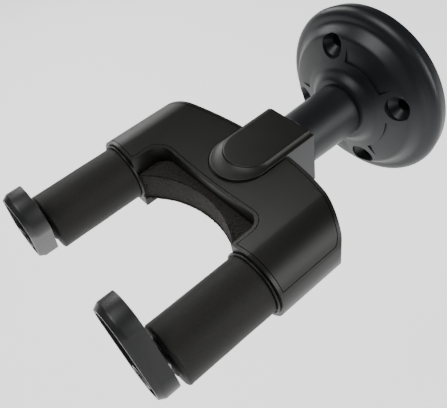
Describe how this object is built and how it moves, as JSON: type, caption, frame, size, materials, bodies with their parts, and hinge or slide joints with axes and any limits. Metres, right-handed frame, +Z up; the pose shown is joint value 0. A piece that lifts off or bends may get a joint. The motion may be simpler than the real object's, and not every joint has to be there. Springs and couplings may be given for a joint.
{
  "type": "wall guitar hanger",
  "caption": "Wall hanger for a guitar: round screwed base plate, short neck, swivelling sprung yoke with two foam-covered arms, and end stops that turn inward when the yoke is loaded.",
  "frame": {"origin": "centre of the base plate's back face, on the wall and on the neck's axis", "axes": "+Z up, +Y into the wall, the arms stand out along -Y, +X to the right of someone who faces the wall"},
  "size_m": [0.1082, 0.1556, 0.08],
  "materials": {
    "black_metal": "satin black powder coat on a casting",
    "satin_plastic": "satin warm-black moulded plastic",
    "panel_plastic": "satin warm-black moulded plastic",
    "stop_plastic": "satin black moulded plastic",
    "sleeve_foam": "smooth-skinned black foam rubber",
    "pad_foam": "dark open-grain foam",
    "zinc_steel": "zinc-plated steel",
    "spring_steel": "oiled spring steel",
    "brass": "turned brass",
    "nylon": "natural nylon",
    "dark_nylon": "black nylon"
  },
  "bodies": {
    "base": {"base_plate": "black_metal", "neck_tube": "black_metal", "retaining_plate": "zinc_steel", "flange_screws": "zinc_steel", "neck_plug": "brass", "pivot_bolt": "zinc_steel", "wave_washer": "spring_steel", "friction_washer": "dark_nylon", "limit_pin": "zinc_steel"},
    "swivel": {"swivel_block": "black_metal", "block_cap": "satin_plastic", "spring_foot": "zinc_steel", "foot_screws": "zinc_steel", "guide_pins": "zinc_steel", "cross_bar": "zinc_steel", "bar_screws": "zinc_steel", "spring_left": "spring_steel", "spring_right": "spring_steel"},
    "yoke": {"upper_shell": "satin_plastic", "lower_shell": "satin_plastic", "cover_panel": "panel_plastic", "shell_screws": "zinc_steel", "neck_pad": "pad_foam", "arm_tube_left": "black_metal", "arm_tube_right": "black_metal", "foam_sleeve_left": "sleeve_foam", "foam_sleeve_right": "sleeve_foam", "collar_ring_left": "satin_plastic", "collar_ring_right": "satin_plastic", "front_bushing_left": "dark_nylon", "front_bushing_right": "dark_nylon", "rear_bushing_left": "nylon", "rear_bushing_right": "nylon"},
    "left_stop": {"lock_rod_left": "zinc_steel", "crank_left": "zinc_steel", "crank_pin_left": "zinc_steel", "rod_clip_left": "spring_steel", "stop_left": "stop_plastic", "stop_screw_left": "zinc_steel"},
    "right_stop": {"lock_rod_right": "zinc_steel", "crank_right": "zinc_steel", "crank_pin_right": "zinc_steel", "rod_clip_right": "spring_steel", "stop_right": "stop_plastic", "stop_screw_right": "zinc_steel"}
  },
  "joints": [
    {"name": "swivel", "type": "hinge", "parent": "base", "child": "swivel", "pos_m": [0, -0.053, 0], "axis": [0, 1, 0], "range_deg": [-45, 45]},
    {"name": "yoke_drop", "type": "slide", "parent": "swivel", "child": "yoke", "axis": [0, 0, -1], "range_m": [0, 0.006], "stiffness_N_per_m": 500, "springref_m": -0.014, "deforming": ["spring_left", "spring_right"]},
    {"name": "right_stop_turn", "type": "hinge", "parent": "yoke", "child": "right_stop", "pos_m": [0.0398, -0.09, 0.0016], "axis": [0, -1, 0], "range_deg": [0, 64.5]},
    {"name": "left_stop_turn", "type": "hinge", "parent": "yoke", "child": "left_stop", "pos_m": [-0.0398, -0.09, 0.0016], "axis": [0, 1, 0], "range_deg": [0, 64.5]}
  ],
  "couplings": [
    {"joint": "right_stop_turn", "follows": "yoke_drop", "rad_per_m": 187.62},
    {"joint": "left_stop_turn", "follows": "yoke_drop", "rad_per_m": 187.62}
  ]
}
